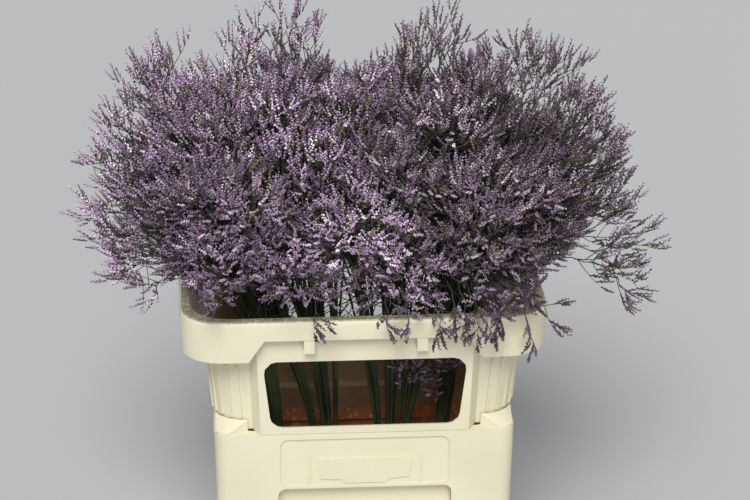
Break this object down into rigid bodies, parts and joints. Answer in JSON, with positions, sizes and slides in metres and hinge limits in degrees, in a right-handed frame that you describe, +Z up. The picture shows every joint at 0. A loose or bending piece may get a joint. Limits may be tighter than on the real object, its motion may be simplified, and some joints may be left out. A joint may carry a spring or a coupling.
{
  "type": "dried statice in a flower bucket",
  "caption": "Rounded clumps of dried lilac statice on thin dark green stems, standing in a cream plastic flower bucket with a windowed collar.",
  "frame": {"origin": "middle of the bucket's flat foot, on the floor", "axes": "+Z up along the stems, +X to the right along the bucket's long side as the front with the label holder is looked at, -Y towards the front"},
  "size_m": [0.6391, 0.3958, 0.6651],
  "materials": {
    "bucket_plastic": "satin cream polypropylene, lightly scuffed",
    "collar_plastic": "satin cream polypropylene, lightly scuffed",
    "stem_green": "matt dark green dried stem",
    "floret_lilac": "matt papery lilac florets",
    "floret_mauve": "matt papery grey-mauve florets"
  },
  "bodies": {
    "root": {"bucket": "bucket_plastic", "collar": "collar_plastic", "spray_01": "floret_lilac", "spray_02": "floret_lilac", "spray_03": "floret_lilac", "spray_04": "floret_lilac", "spray_05": "floret_lilac", "spray_06": "floret_lilac", "spray_07": "floret_lilac", "spray_08": "floret_lilac", "spray_09": "floret_lilac", "spray_10": "floret_lilac", "spray_11": "floret_lilac", "spray_12": "floret_lilac", "spray_13": "floret_lilac", "spray_14": "floret_lilac", "spray_15": "floret_lilac", "spray_16": "floret_lilac", "spray_17": "floret_lilac", "spray_18": "floret_lilac", "spray_19": "floret_lilac", "spray_20": "floret_lilac", "spray_21": "floret_lilac", "spray_22": "floret_lilac", "spray_23": "floret_lilac", "spray_24": "floret_lilac", "spray_25": "floret_lilac", "spray_26": "floret_lilac", "spray_27": "floret_lilac", "spray_28": "floret_lilac", "spray_29": "floret_mauve", "spray_30": "floret_mauve", "spray_31": "floret_mauve", "spray_32": "floret_mauve", "spray_33": "floret_mauve", "spray_34": "floret_mauve", "spray_35": "floret_mauve", "spray_36": "floret_mauve", "spray_37": "floret_mauve", "spray_38": "floret_mauve", "spray_39": "floret_mauve", "spray_40": "floret_mauve", "spray_41": "floret_mauve", "spray_42": "floret_mauve", "spray_43": "floret_mauve", "spray_44": "floret_mauve", "spray_45": "floret_mauve", "spray_46": "floret_mauve", "spray_47": "floret_mauve", "spray_48": "floret_mauve", "spray_49": "floret_mauve", "spray_50": "floret_mauve", "stems_1": "stem_green", "stems_2": "stem_green", "stems_3": "stem_green", "stems_4": "stem_green"}
  },
  "joints": []
}
